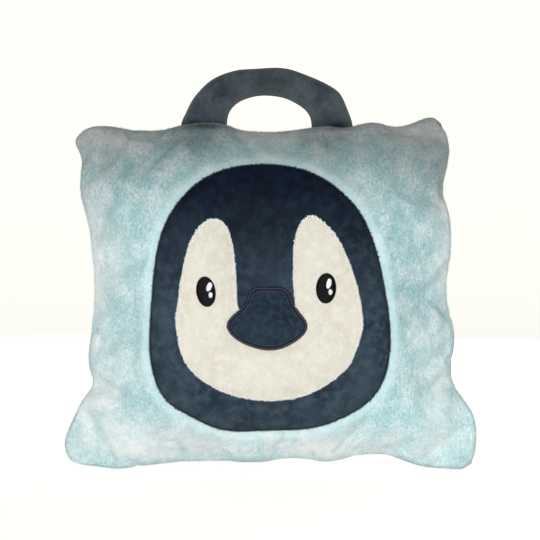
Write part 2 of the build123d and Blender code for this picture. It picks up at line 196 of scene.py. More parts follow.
class Outline:
    """A closed outline that can say how far inside it a point lies."""

    def __init__(self, points, spacing):
        rough = spline(points, 400, closed=True)
        self.length = np.linalg.norm(rough - np.roll(rough, 1, axis=0), axis=1).sum()
        self.points = spline(points, max(12, int(self.length / spacing)), closed=True)
        self.fine = spline(points, max(400, int(self.length / (0.4 * MM))), closed=True)
        self.tree = kdtree.KDTree(len(self.fine))
        for i, (x, z) in enumerate(self.fine):
            self.tree.insert((x, z, 0), i)
        self.tree.balance()

    def depth(self, places):
        """Distance from the edge, positive inside."""
        away = np.array([self.tree.find((x, z, 0))[2] for x, z in places])
        inside = np.zeros(len(places), bool)
        x, z = places[:, 0], places[:, 1]
        for (x1, z1), (x2, z2) in zip(self.points, np.roll(self.points, -1, axis=0)):
            crosses = (z1 > z) != (z2 > z)
            if crosses.any():
                inside ^= crosses & (x < (x2 - x1) * (z - z1) / (z2 - z1 + 1e-15) + x1)
        return np.where(inside, away, -away)

    def frames(self, count):
        """Evenly spaced points with their unit normals, which point inwards."""
        step = max(1, len(self.fine) // 400)
        index = np.linspace(0, len(self.fine), count, endpoint=False).astype(int)
        at = self.fine[index]
        along = self.fine[(index + step) % len(self.fine)] - self.fine[index - step]
        along /= np.linalg.norm(along, axis=1)[:, None]
        normal = np.column_stack([along[:, 1], -along[:, 0]])
        if (self.depth(at[:1] + normal[:1] * MM) < 0).all():
            normal = -normal
        return at, normal


def ellipse(centre, half_sizes, lean):
    """Points round a leaning ellipse, in millimetres; a positive lean tips its top to the left."""
    angle = radians(lean)
    around = [2 * pi * k / 24 for k in range(24)]
    across = [(half_sizes[0] * cos(a), half_sizes[1] * sin(a)) for a in around]
    return [
        (centre[0] + u * cos(angle) - v * sin(angle), centre[1] + u * sin(angle) + v * cos(angle))
        for u, v in across
    ]


# ---------------------------------------------------------------- meshes


def make_object(name, vertices, faces, material):
    """A smooth-shaded mesh object, linked to the scene."""
    mesh = bpy.data.meshes.new(name)
    mesh.from_pydata([tuple(v) for v in vertices], [], [tuple(f) for f in faces])
    mesh.update()
    mesh.polygons.foreach_set("use_smooth", [True] * len(mesh.polygons))
    obj = bpy.data.objects.new(name, mesh)
    bpy.context.scene.collection.objects.link(obj)
    if material:
        mesh.materials.append(material)
    return obj


def paint(obj, name, values):
    """Stores a number on each vertex, for the material to read."""
    attribute = obj.data.attributes.new(name, "FLOAT", "POINT")
    attribute.data.foreach_set("value", np.asarray(values, np.float32))


def brush(obj):
    """Paints how far the nap is brushed pale or dark, and the painted shadow at the handle's feet, from
    the lists, on an object's vertices.
    """
    at = np.array([v.co for v in obj.data.vertices]) / MM
    for name, patches in (("pale", PALE_NAP), ("dark", DARK_NAP_AND_SHADE)):
        total = np.zeros(len(at))
        for x, z, half_width, half_height, amount in patches:
            away = np.hypot((at[:, 0] - x) / half_width, (at[:, 2] - z) / half_height)
            total += amount * np.exp(-(away**2)) * (at[:, 1] < 2)
        paint(obj, name, np.clip(total, 0, 1))


def noise(places, size, seed):
    """Smooth noise, mostly between -1 and 1, with lumps of about this size."""
    from_seed = np.random.default_rng(seed)
    total = np.zeros(len(places))
    for _ in range(14):
        direction = from_seed.normal(size=3)
        direction *= 2 * pi / (size * 1.7) / np.linalg.norm(direction) * from_seed.uniform(0.6, 1.5)
        total += np.sin(places @ direction + from_seed.uniform(0, 2 * pi))
    return total / 3.5


def two_sided_grid(front, back):
    """One closed mesh of two grids that share their rim."""
    rows, columns = front.shape[:2]
    front_index = np.arange(rows * columns).reshape(rows, columns)
    back_index = front_index.copy()
    inner = rows * columns + np.arange((rows - 2) * (columns - 2)).reshape(rows - 2, columns - 2)
    back_index[1:-1, 1:-1] = inner
    vertices = np.vstack([front.reshape(-1, 3), back[1:-1, 1:-1].reshape(-1, 3)])
    faces = []
    for index, order in ((front_index, (0, 1, 2, 3)), (back_index, (3, 2, 1, 0))):
        corners = [index[:-1, :-1], index[:-1, 1:], index[1:, 1:], index[1:, :-1]]
        faces.append(np.stack([corners[k] for k in order], axis=-1).reshape(-1, 4))
    return vertices, np.vstack(faces), front_index, back_index


def stuffed(flat, depth, growth, pressure, cap):
    """Blows two sewn layers of cloth up with a cloth simulation and gives their front and back.

    flat is a grid of (x, z), whose rim is the seam and stays put. depth is a grid of how far the
    layers start apart. growth is the spare cloth, and cap how far the cloth may move."""
    rows, columns = depth.shape
    front = np.stack([flat[..., 0], -depth, flat[..., 1]], axis=-1)
    back = front * (1, -1, 1)
    vertices, faces, front_index, back_index = two_sided_grid(front, back)
    obj = make_object("stuffing", vertices, faces, None)
    rim = obj.vertex_groups.new(name="seam")
    on_rim = np.ones((rows, columns), bool)
    on_rim[1:-1, 1:-1] = False
    rim.add([int(i) for i in front_index[on_rim]], 1.0, "REPLACE")
    modifier = obj.modifiers.new("cloth", "CLOTH")
    cloth = modifier.settings
    cloth.quality = 6
    cloth.mass = 0.25
    cloth.tension_stiffness = cloth.compression_stiffness = 18
    cloth.shear_stiffness = 8
    cloth.bending_stiffness = 0.6
    cloth.use_pressure = True
    cloth.uniform_pressure_force = pressure
    cloth.vertex_group_mass = "seam"
    cloth.shrink_min = -growth
    cloth.effector_weights.gravity = 0
    modifier.collision_settings.use_collision = False
    scene = bpy.context.scene
    for number in range(1, 21):
        scene.frame_set(number)
    shown = obj.evaluated_get(bpy.context.evaluated_depsgraph_get())
    moved = np.array([v.co for v in shown.data.vertices])
    scene.frame_set(1)
    bpy.data.objects.remove(obj)
    shift = moved - vertices
    far = np.linalg.norm(shift, axis=1, keepdims=True)
    moved = vertices + shift * np.minimum(1, cap / np.maximum(far, 1e-9))
    return moved[front_index], moved[back_index]


def resampler(count, places):
    """The matrix that reads a row of samples at places from 0 to 1, with a smooth cubic."""
    matrix = np.zeros((len(places), count))
    for row, place in enumerate(places):
        x = place * (count - 1)
        i = min(int(x), count - 2)
        t = x - i
        weights = (
            -0.5 * t**3 + t**2 - 0.5 * t,
            1.5 * t**3 - 2.5 * t**2 + 1,
            -1.5 * t**3 + 2 * t**2 + 0.5 * t,
            0.5 * t**3 - 0.5 * t**2,
        )
        for k, weight in zip(range(i - 1, i + 3), weights):
            if k < 0:
                matrix[row, 0] += 2 * weight
                matrix[row, 1] -= weight
            elif k > count - 1:
                matrix[row, -1] += 2 * weight
                matrix[row, -2] -= weight
            else:
                matrix[row, k] += weight
    return matrix


def finer(grid, row_places, column_places):
    """Reads a grid of points at these places along its rows and columns, with a smooth cubic."""
    rows = resampler(grid.shape[0], row_places)
    columns = resampler(grid.shape[1], column_places)
    return np.einsum("ri,ijk,cj->rck", rows, grid, columns)


def near(values, centre, width):
    """A bell, 1 at the centre."""
    return np.exp(-(((values - centre) / width) ** 2))


# ---------------------------------------------------------------- materials


def node(tree, kind, settings=None, **inputs):
    """Adds a shader node with these settings, and with these input values or links."""
    made = tree.nodes.new(kind)
    for key, value in (settings or {}).items():
        setattr(made, key, value)
    for key, value in inputs.items():
        socket = made.inputs[key.replace("_", " ")]
        if isinstance(value, bpy.types.NodeSocket):
            tree.links.new(value, socket)
        else:
            socket.default_value = value
    return made


def colour(red, green, blue):
    """An sRGB colour from 0 to 255 as a linear one."""
    channels = [c / 255 for c in (red, green, blue)]
    return [c / 12.92 if c <= 0.04045 else ((c + 0.055) / 1.055) ** 2.4 for c in channels] + [1.0]


def ramp(tree, value, low, high, dark, light):
    """A colour that runs from dark to light as the value goes from low to high."""
    made = node(tree, "ShaderNodeValToRGB", Fac=value)
    made.color_ramp.elements[0].position, made.color_ramp.elements[0].color = low, dark
    made.color_ramp.elements[1].position, made.color_ramp.elements[1].color = high, light
    return made.outputs["Color"]


def mixed(tree, factor, a, b, mode="MIX"):
    """Colour a blended with b, as far as the factor says."""
    made = tree.nodes.new("ShaderNodeMix")
    made.data_type = "RGBA"
    made.blend_type = mode
    for socket, value in ((made.inputs["Factor"], factor), (made.inputs[6], a), (made.inputs[7], b)):
        if isinstance(value, bpy.types.NodeSocket):
            tree.links.new(value, socket)
        else:
            socket.default_value = value
    return made.outputs[2]


def stretched(tree, places, scale):
    """Coordinates scaled along each axis, so that a pattern is drawn out."""
    return node(tree, "ShaderNodeMapping", Vector=places, Scale=scale).outputs["Vector"]


def lumps(tree, places, scale, detail=2.0, roughness=0.5):
    """Noise from 0 to 1, at a scale per metre."""
    made = node(tree, "ShaderNodeTexNoise", Vector=places, Scale=scale, Detail=detail, Roughness=roughness)
    return made.outputs["Fac"]


def arithmetic(tree, operation, a, b):
    """The sum or product of two shader values."""
    made = node(tree, "ShaderNodeMath", {"operation": operation})
    tree.links.new(a, made.inputs[0])
    tree.links.new(b, made.inputs[1])
    return made.outputs["Value"]


def from_vertices(tree, name):
    """The number that paint stored under this name."""
    return node(tree, "ShaderNodeAttribute", {"attribute_name": name}).outputs["Fac"]


def new_material(name):
    """A new material, with its node tree, its shader and the object's own coordinates."""
    material = bpy.data.materials.new(name)
    material.use_nodes = True
    tree = material.node_tree
    places = node(tree, "ShaderNodeTexCoord").outputs["Object"]
    return material, tree, tree.nodes["Principled BSDF"], places


def raised(tree, shader, strength, distance, height):
    """Bumps the shader's surface by a height map."""
    surface = node(tree, "ShaderNodeBump", Strength=strength, Distance=distance, Height=height)
    tree.links.new(surface.outputs["Normal"], shader.inputs["Normal"])


def roughened(tree, shader, value, low, high):
    """Lets the shader's roughness run from low to high with a value."""
    rough = node(tree, "ShaderNodeMapRange", Value=value, To_Min=low, To_Max=high)
    tree.links.new(rough.outputs["Result"], shader.inputs["Roughness"])


def grey(level):
    return (level, level, level, 1)


def pile(name, shade, base, light, patch, grain, bump, sheen, halo=None, fade=None, pale=None, speck=0.18):
    """Short pile: patches where the nap lies another way, streaks, and the grain of the fibres.

    patch and grain are the noise scales, per metre, and speck how far the grain changes the tone.
    halo is the colour that the vertex number "halo" brings in; on the handle it is a painted sheen
    along the band's edges. fade is painted shade towards the top: a colour multiplied in, and the
    two heights between which it comes in. pale is the colour of nap that is brushed towards the light,
    where the vertex number "pale" says so. The number "dark" turns the tone towards black: darker
    nap, and painted shadow where the handle goes into the seam."""
    pale = pale or light
    material, tree, shader, places = new_material(name)
    nap = lumps(tree, stretched(tree, places, (1.0, 1.0, 0.85)), patch, 3.0, 0.55)
    streaks = lumps(tree, stretched(tree, places, (0.8, 1.0, 0.75)), patch * 7, 3.0, 0.6)
    fibres = lumps(tree, stretched(tree, places, (1.0, 1.0, 0.6)), grain, 2.0, 0.7)
    tone = ramp(tree, nap, 0.36, 0.64, shade, base)
    tone = mixed(tree, ramp(tree, streaks, 0.42, 0.66, grey(0), grey(0.75)), tone, light)
    speckle = ramp(tree, fibres, 0.3, 0.7, grey(1 - speck), grey(1 + speck))
    tone = mixed(tree, 1.0, tone, speckle, "MULTIPLY")
    # Where the vertex number says so, the halo colour comes in: paler nap round the head on the cover, and
    # a painted sheen along the handle's edges.
    if halo:
        tone = mixed(tree, from_vertices(tree, "halo"), tone, halo)
    ragged = ramp(tree, lumps(tree, places, 45.0, 4.0, 0.6), 0.35, 0.6, grey(0.45), grey(1))
    # The dark number is darker nap, and painted shadow at the handle's feet.
    for name, target in (("pale", pale), ("dark", grey(0))):
        share = arithmetic(tree, "MULTIPLY", from_vertices(tree, name), ragged)
        tone = mixed(tree, share, tone, target)
    # Painted shade: towards the top, a darker colour is multiplied into the tone.
    if fade:
        top_shade_tint, low, high = fade
        height = node(tree, "ShaderNodeSeparateXYZ", Vector=places).outputs["Z"]
        smooth = {"interpolation_type": "SMOOTHSTEP"}
        rise = node(tree, "ShaderNodeMapRange", smooth, Value=height, From_Min=low, From_Max=high)
        tone = mixed(tree, rise.outputs["Result"], tone, mixed(tree, 1.0, tone, top_shade_tint, "MULTIPLY"))
    tree.links.new(tone, shader.inputs["Base Color"])
    clumps = lumps(tree, places, grain / 3, 3.0, 0.6)
    raised(tree, shader, bump, 1.2 * MM, arithmetic(tree, "ADD", fibres, clumps))
    roughened(tree, shader, clumps, 0.82, 1.0)
    shader.inputs["Specular IOR Level"].default_value = 0.08
    shader.inputs["Sheen Weight"].default_value = sheen
    shader.inputs["Sheen Roughness"].default_value = 0.45
    shader.inputs["Sheen Tint"].default_value = light
    return material


def thread(name, dark, light, roughness, sheen=0.0):
    """Polyester embroidery thread: glossy, its colour varying a little from stitch to stitch."""
    material, tree, shader, places = new_material(name)
    tone = ramp(tree, lumps(tree, places, 900.0, 1.0), 0.3, 0.7, dark, light)
    tree.links.new(tone, shader.inputs["Base Color"])
    raised(tree, shader, 0.4, 0.2 * MM, lumps(tree, places, 4000.0, 1.0))
    roughened(tree, shader, lumps(tree, places, 1500.0), roughness - 0.12, roughness + 0.12)
    shader.inputs["Specular IOR Level"].default_value = 0.25
    shader.inputs["Sheen Weight"].default_value = sheen
    return material


def tape(name, dark, light):
    """Twill tape of a zip."""
    material, tree, shader, places = new_material(name)
    slanting = {"bands_direction": "DIAGONAL"}
    wave = node(tree, "ShaderNodeTexWave", slanting, Vector=places, Scale=380.0, Distortion=0.4)
    ribs = wave.outputs["Fac"]
    tree.links.new(ramp(tree, ribs, 0.2, 0.8, dark, light), shader.inputs["Base Color"])
    raised(tree, shader, 0.5, 0.3 * MM, ribs)
    shader.inputs["Roughness"].default_value = 0.8
    return material


def coated_metal(name, dark, light):
    """Die-cast zinc with a satin coat, rubbed a little paler in places."""
    material, tree, shader, places = new_material(name)
    wear = lumps(tree, places, 420.0, 3.0)
    tree.links.new(ramp(tree, wear, 0.4, 0.7, dark, light), shader.inputs["Base Color"])
    roughened(tree, shader, wear, 0.25, 0.45)
    shader.inputs["Metallic"].default_value = 0.85
    return material


def moulded(name, base):
    """Nylon coil."""
    material, tree, shader, places = new_material(name)
    darker = [c * 0.8 for c in base[:3]] + [1.0]
    tone = ramp(tree, lumps(tree, places, 500.0), 0.3, 0.7, darker, base)
    tree.links.new(tone, shader.inputs["Base Color"])
    shader.inputs["Roughness"].default_value = 0.4
    return material


# The last colour darkens the top of the cushion from 0.19 m up: painted shade.
aqua = pile(
    "aqua_plush", colour(160, 198, 202), colour(180, 216, 219), colour(220, 237, 238),
    10.0, 620.0, 0.6, 0.3, halo=colour(208, 238, 240), fade=(colour(176, 168, 166), 0.19, 0.32),
    pale=colour(246, 247, 243), speck=0.26,
)
# The last colour darkens the top of the head from 0.12 m up: painted shade.
head_velour = pile(
    "charcoal_velour", colour(36, 50, 62), colour(54, 70, 81), colour(70, 84, 94),
    22.0, 800.0, 0.35, 0.03, fade=(colour(84, 102, 134), 0.12, 0.27),
)
# The halo colour here is a painted sheen along the band's two edges.
handle_velour = pile(
    "charcoal_handle_velour", colour(50, 60, 70), colour(75, 84, 87), colour(82, 90, 94),
    14.0, 800.0, 0.35, 0.04, halo=colour(92, 97, 96),
)
beak_velour = pile(
    "beak_velour", colour(28, 42, 54), colour(38, 53, 65), colour(52, 66, 77), 40.0, 900.0, 0.3, 0.03,
)
cream_fleece = pile(
    "cream_fleece", colour(217, 212, 196), colour(226, 222, 207), colour(233, 230, 218),
    25.0, 900.0, 0.25, 0.03, speck=0.07,
)
dark_thread = thread("head_thread", colour(4, 12, 18), colour(16, 28, 34), 0.6)
cream_thread = thread("face_thread", colour(248, 247, 240), colour(255, 255, 252), 0.5, sheen=0.6)
# The beak's border is one dark thread on a rounded ridge. The satin is coloured in its lit tone, a painted
# highlight, and the near-black thread below is painted shade along the ridge's two edges.
beak_lit_thread = thread("beak_lit_thread", colour(48, 46, 66), colour(84, 82, 106), 0.45)
edge_shade_thread = thread("beak_edge_shade_thread", colour(4, 6, 14), colour(14, 16, 26), 0.6)
line_thread = thread("beak_line_thread", colour(58, 68, 86), colour(88, 96, 118), 0.45)
eye_thread = thread("eye_thread", colour(3, 3, 7), colour(10, 9, 15), 0.5)
white_thread = thread("glint_thread", colour(242, 242, 240), colour(255, 255, 255), 0.35)
plush_thread = thread("cover_thread", colour(140, 165, 167), colour(170, 194, 195), 0.5)
zip_twill = tape("zip_twill", colour(146, 176, 180), colour(178, 206, 208))
coil_nylon = moulded("coil_nylon", colour(176, 202, 205))
zip_metal = coated_metal("zip_metal", colour(150, 158, 161), colour(205, 210, 211))

# ---------------------------------------------------------------- the stuffed cushion

ROWS, COLUMNS = 57, 65
SEAM_FURROW = 2.4 * MM


def seam_grid():
    """The flat cloth inside the seam, as a grid of (x, z) that follows all four sides."""
    left, right = spline(SEAM_LEFT, ROWS), spline(SEAM_RIGHT, ROWS)
    bottom, top = spline(SEAM_BOTTOM, COLUMNS), spline(SEAM_TOP, COLUMNS)
    a = np.linspace(0, 1, COLUMNS)[None, :, None]
    b = np.linspace(0, 1, ROWS)[:, None, None]
    across = (1 - a) * left[:, None] + a * right[:, None]
    upwards = (1 - b) * bottom[None] + b * top[None]
    corners = (1 - a) * (1 - b) * bottom[0] + a * (1 - b) * bottom[-1]
    corners = corners + (1 - a) * b * top[0] + a * b * top[-1]
    return across + upwards - corners


def crown(power):
    """How full the cushion is over its grid, 0 on the seam and 1 in the middle."""
    u = np.linspace(-1, 1, COLUMNS)[None, :]
    v = np.linspace(-1, 1, ROWS)[:, None]
    return (np.maximum(0, 1 - u**2) * np.maximum(0, 1 - v**2)) ** power


front, back = stuffed(seam_grid(), 0.9 * FRONT_DEPTH * crown(0.5), growth=0.035, pressure=3.0, cap=0.014)
front[..., 1] *= FRONT_DEPTH / -front[..., 1].min()
back[..., 1] *= FRONT_DEPTH / back[..., 1].max()

# Folds where the filling doesn't reach into the corners: start, end, width and depth, in millimetres
FOLDS = [
    ((-157, 80), (-118, 66), 5, 7),
    ((-172, 58), (-140, 30), 8, 4),
    ((165, 84), (128, 62), 6, 6),
    ((176, 56), (150, 30), 8, 3),
    ((-166, 288), (-140, 268), 7, 4),
    ((152, 300), (128, 274), 7, 4),
    ((96, 305), (90, 276), 7, 3),
    ((-22, 302), (-26, 284), 8, 2),
]


def crease(grid, side):
    """Presses the folds into one side of the cushion, fading out along their length."""
    x, z = grid[..., 0] / MM, grid[..., 2] / MM
    for (x1, z1), (x2, z2), width, depth in FOLDS:
        length = sqrt((x2 - x1) ** 2 + (z2 - z1) ** 2)
        along = ((x - x1) * (x2 - x1) + (z - z1) * (z2 - z1)) / length**2
        away = ((x - x1) * (z2 - z1) - (z - z1) * (x2 - x1)) / length
        fade = np.clip(1 - np.abs(along - 0.35) / 0.75, 0, 1) ** 1.3
        dent = depth * MM * fade * (near(away, 0, width) - 0.45 * near(np.abs(away), 2.2 * width, width))
        grid[..., 1] -= side * np.minimum(dent, 0.8 * np.abs(grid[..., 1]))


crease(front, -1)
crease(back, 1)

# The zip's track, read from the frame: an arc about the slider's axis
travel = joint("slider_travel")
ZIP_AXIS_Y = travel["pos_m"][1]
ZIP_Z = travel["pos_m"][2]
ZIP_LEAN = radians(9.57)  # how far the back leans from upright there
ZIP_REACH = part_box("zip_open_stop")[1][0] + 0.8 * MM
ZIP_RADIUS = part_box("zip_coil_upper")[1][1] + 0.31 * MM - ZIP_AXIS_Y  # of the plush beside the coils
SLOT_HALF, SLOT_DEPTH = 5.9 * MM, 6.5 * MM
BACK_CURVE = 0.65  # twice the radius of the back's curve up the slope
# The back follows the track this far to either side and up and down, and then leaves it gently
FOLLOW_SIDEWAYS, FOLLOW_UPWARDS, LEAVING = 0.152, 0.05, 0.034
# The seam that the zip is set in goes on past the slot, and ends where it fades out
SEAM_END, SEAM_FADE, SEAM_GROOVE = 0.150, 0.01, 1.6 * MM


def zip_surface(x, up):
    """The y of the plush at a height above the zip, along the slope of the back."""
    return ZIP_AXIS_Y + np.sqrt((ZIP_RADIUS + up * sin(ZIP_LEAN)) ** 2 - x**2) - up**2 / BACK_CURVE


# Both sides get the same rows, closer together along the two edges of the zip's slot
EDGE_ROWS = np.array([6, 6.3, 6.9, 7.6, 9, 11, 13, 15, 17, 19, 21, 23, 25]) * MM
ZIP_ROWS = np.concatenate([-EDGE_ROWS[::-1], np.array([-5.8, -3, 0, 3, 5.8]) * MM, EDGE_ROWS])
FINE_COLUMNS = np.linspace(0, 1, 3 * (COLUMNS - 1) + 1)
DENSE = np.linspace(0, 1, 301)
BELOW, ABOVE = 32, 112


def in_rows(dense, stops):
    """Samples each column of a dense grid at even steps below and above its stops."""
    columns = []
    for column, stop in zip(np.swapaxes(dense, 0, 1), stops):
        low = np.linspace(0, stop[0], BELOW, endpoint=False)
        high = np.linspace(stop[-1], 1, ABOVE + 1)[1:]
        places = np.concatenate([low, stop, high])
        columns.append(np.column_stack([np.interp(places, DENSE, column[:, k]) for k in range(3)]))
    return np.swapaxes(np.array(columns), 0, 1)


dense_front, dense_back = finer(front, DENSE, FINE_COLUMNS), finer(back, DENSE, FINE_COLUMNS)
zip_heights = ZIP_Z + ZIP_ROWS * cos(ZIP_LEAN)
back_stops = [np.interp(zip_heights, dense_back[:, k, 2], DENSE) for k in range(len(FINE_COLUMNS))]
front, back = in_rows(dense_front, back_stops), in_rows(dense_back, back_stops)

x, up = back[..., 0], (back[..., 2] - ZIP_Z) / cos(ZIP_LEAN)
fit = np.clip((FOLLOW_SIDEWAYS - np.abs(x)) / LEAVING, 0, 1)
fit = fit * np.clip((FOLLOW_UPWARDS - np.abs(up)) / LEAVING, 0, 1)
fit = fit**2 * (3 - 2 * fit)
by_zip = zip_surface(x, np.clip(up, -FOLLOW_UPWARDS, FOLLOW_UPWARDS))
back[..., 1] = back[..., 1] * (1 - fit) + fit * by_zip
by_slot = np.abs(x) < ZIP_REACH
in_slot = (np.abs(up) < SLOT_HALF) & by_slot
seam_on = np.clip((SEAM_END - np.abs(x)) / SEAM_FADE, 0, 1) * ~by_slot
back[..., 1] -= SLOT_DEPTH * in_slot + SEAM_GROOVE * near(up, 0, SEAM_GROOVE) * seam_on
back[..., 1] += 0.8 * MM * near(np.abs(up), 8 * MM, 2.5 * MM) * (by_slot & ~in_slot)

# ---------------------------------------------------------------- the embroidered face

head, face, beak = Outline(HEAD, 2.0 * MM), Outline(FACE, 1.6 * MM), Outline(BEAK, 1.1 * MM)
HEAD_RISE, FACE_RISE, BEAK_RISE = 2.0 * MM, 1.6 * MM, 2.6 * MM


def rounded(depth, thickness, edge, pressed):
    """The height of cloth whose edge is rounded over and pressed down by its stitches."""
    rim = np.sqrt(1 - (1 - np.clip(depth / edge, 0, 1)) ** 2)
    return np.where(depth > 0, thickness * rim * (1 - pressed * near(depth, 1.4 * MM, 1.8 * MM)), 0)


def nothing(places):
    return np.zeros(len(places))


def own_head(places):
    return rounded(head.depth(places), HEAD_RISE, 1.0 * MM, 0.45)


def own_face(places):
    return rounded(face.depth(places), FACE_RISE, 0.9 * MM, 0.45)


def own_beak(places):
    return rounded(beak.depth(places), BEAK_RISE, 3.0 * MM, 0.0)


def upto_face(places):
    """The height of the head and face together."""
    return own_head(places) + own_face(places)


def upto_beak(places):
    """The height of everything sewn on the cover."""
    return upto_face(places) + own_beak(places)


# The cover bulges a little round the head, where the stitches pull it in
flat_places = front.reshape(-1, 3)
seen = np.column_stack([
    EYE.x + (flat_places[:, 0] - EYE.x) * -EYE.y / (flat_places[:, 1] - EYE.y),
    EYE.z + (flat_places[:, 2] - EYE.z) * -EYE.y / (flat_places[:, 1] - EYE.y),
])
from_head = head.depth(seen)
bulge = 1.6 * MM * near(from_head, -7 * MM, 5 * MM) - 1.4 * MM * near(from_head, 0, 3 * MM)
front[..., 1] -= bulge.reshape(front.shape[:2])
halo_front = 0.62 * near(from_head, -3.5 * MM, 5.5 * MM)

vertices, faces, front_index, back_index = two_sided_grid(front, back)


def loop_of(index):
    """The rim of a grid of indices, in order round it."""
    return np.concatenate([index[0, :-1], index[:-1, -1], index[-1, :0:-1], index[:0:-1, 0]])


# The seam is pulled in, so that a furrow runs round the edge between the two sides
seam = loop_of(front_index)
seam_run = np.roll(vertices[seam], -3, axis=0) - np.roll(vertices[seam], 3, axis=0)
seam_in = np.column_stack([-seam_run[:, 2], np.zeros(len(seam)), seam_run[:, 0]])
seam_in /= np.linalg.norm(seam_in, axis=1)[:, None]
vertices[seam] += SEAM_FURROW * seam_in
vertices[:, 2] = np.maximum(vertices[:, 2], 0.2 * MM)
cover = make_object("cushion_cover", vertices, faces, aqua)
halo = np.zeros(len(vertices))
halo[front_index.ravel()] = halo_front
paint(cover, "halo", halo)
brush(cover)
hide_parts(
    "front_panel", "back_panel_upper", "back_panel_lower", "inner_case_front",
    "inner_case_back", "fibre_filling"
)
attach(cover, "cushion")
FRINGE_CELLS = 9  # how many cells in from the seam the single fibres reach
CUSHION_MIDDLE = 0.155  # its height over the ground


def fringe(index_grids, count, length, width, seed):
    """Single fibres of the pile that stand off the edges of the cushion, where they show."""
    draw = np.random.default_rng(seed)
    cells = []
    for index in index_grids:
        corners = np.stack([index[:-1, :-1], index[:-1, 1:], index[1:, 1:], index[1:, :-1]], axis=-1)
        inner = np.zeros(corners.shape[:2], bool)
        inner[FRINGE_CELLS:-FRINGE_CELLS, FRINGE_CELLS:-FRINGE_CELLS] = True
        cells.append(corners[~inner])
    cells = np.vstack(cells)
    a, b, c, d = (vertices[cells[:, k]] for k in range(4))
    normal = np.cross(c - a, d - b)
    area = np.linalg.norm(normal, axis=1)
    out = (a + c) / 2 * (1, 3, 1) - (0, 0, CUSHION_MIDDLE)
    normal *= (np.sign((normal * out).sum(axis=1)) / np.maximum(area, 1e-12))[:, None]
    pick = draw.choice(len(cells), count, p=area / area.sum())
    u, v = draw.random((2, count, 1))
    root = (1 - v) * ((1 - u) * a[pick] + u * b[pick]) + v * ((1 - u) * d[pick] + u * c[pick])
    way = normal[pick] + draw.normal(0, 0.45, (count, 3)) + (0, 0, -0.25)
    way /= np.linalg.norm(way, axis=1)[:, None]
    side = np.cross(way, draw.normal(size=(count, 3)))
    side *= width / 2 / np.linalg.norm(side, axis=1)[:, None]
    tip = root + way * length * draw.uniform(0.5, 1, (count, 1))
    tip[:, 2] = np.maximum(tip[:, 2], 0.2 * MM)
    hairs = np.stack([root - side, root + side, tip], axis=1).reshape(-1, 3)
    return hairs, np.arange(3 * count).reshape(-1, 3)


hairs, hair_faces = fringe((front_index, back_index), 26000, 2.3 * MM, 0.28 * MM, 11)
pile_fringe = make_object("cushion_pile_fringe", hairs, hair_faces, aqua)
brush(pile_fringe)
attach(pile_fringe, "cushion")

front_faces = [tuple(f) for f in faces[: len(faces) // 2]]
front_tree = BVHTree.FromPolygons([tuple(v) for v in vertices], front_faces)


def on_front(places, heights):
    """Points on the stuffed front that are seen at places in the seam plane, raised by heights."""
    points = []
    for (x, z), height in zip(places, heights):
        way = (Vector((x, 0, z)) - EYE).normalized()
        hit = front_tree.ray_cast(EYE, way)[0]
        hit = hit if hit is not None else Vector((x, 0, z))
        points.append(hit - way * height)
    return points


def cloth_patch(name, outline, spacing, under, own, material, node_name):
    """A patch of cloth sewn on the front: under and own give the heights below and of the patch."""
    places = [outline.points]
    for ring in (0.35, 0.8, 1.4, 2.1, 3.0):
        at, normal = outline.frames(len(outline.points))
        at = at + normal * ring * MM
        places.append(at[outline.depth(at) > 0.93 * ring * MM])
    low, high = outline.points.min(axis=0), outline.points.max(axis=0)
    columns, rows = np.arange(low[0], high[0], spacing), np.arange(low[1], high[1], spacing)
    grid = np.stack(np.meshgrid(columns, rows), -1).reshape(-1, 2)
    places.append(grid[outline.depth(grid) > 3.6 * MM])
    rim = list(range(len(outline.points)))
    flat = [Vector(p) / MM for p in np.vstack(places)]
    flat, _, triangles, _, _, _ = geometry.delaunay_2d_cdt(flat, [], [rim], 1, 1e-4)
    flat = np.array([tuple(p) for p in flat]) * MM
    below = under(flat)
    heights = below + own(flat)
    top = on_front(flat, heights)
    bottom = on_front(flat, below - 0.6 * MM)
    count = len(flat)
    faces = [tuple(t) for t in triangles] + [tuple(i + count for i in reversed(t)) for t in triangles]
    edges = {(a, b) for t in triangles for a, b in zip(t, list(t[1:]) + [t[0]])}
    faces += [(b, a, a + count, b + count) for a, b in edges if (b, a) not in edges]
    patch = make_object(name, top + bottom, faces, material)
    edge = near(outline.depth(flat), 0, 2.5 * MM)
    paint(patch, "halo", np.concatenate([edge, edge]))
    brush(patch)
    sewn(patch, node_name)


def sewn(obj, node_name, body="cushion"):
    """Hides the frame's node that a piece stands for, and hangs the piece on its body."""
    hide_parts(node_name)
    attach(obj, body)


def threads(name, paths, radius, material):
    """Short lengths of thread, each a path of points, as one mesh of four-sided tubes."""
    vertices, faces = [], []
    for path in paths:
        first = len(vertices)
        for i, point in enumerate(path):
            along = (path[min(i + 1, len(path) - 1)] - path[max(i - 1, 0)]).normalized()
            side = along.cross(Vector((0, 1, 0))).normalized()
            out = side.cross(along)
            size = radius * (0.55 if i in (0, len(path) - 1) else 1)
            vertices += [point + side * size, point + out * size, point - side * size, point - out * size]
        for i in range(len(path) - 1):
            a, b = first + 4 * i, first + 4 * i + 4
            faces += [(b + k, b + (k + 1) % 4, a + (k + 1) % 4, a + k) for k in range(4)]
        last = len(vertices) - 4
        faces += [(first, first + 1, first + 2, first + 3), (last + 3, last + 2, last + 1, last)]
    return make_object(name, vertices, faces, material)


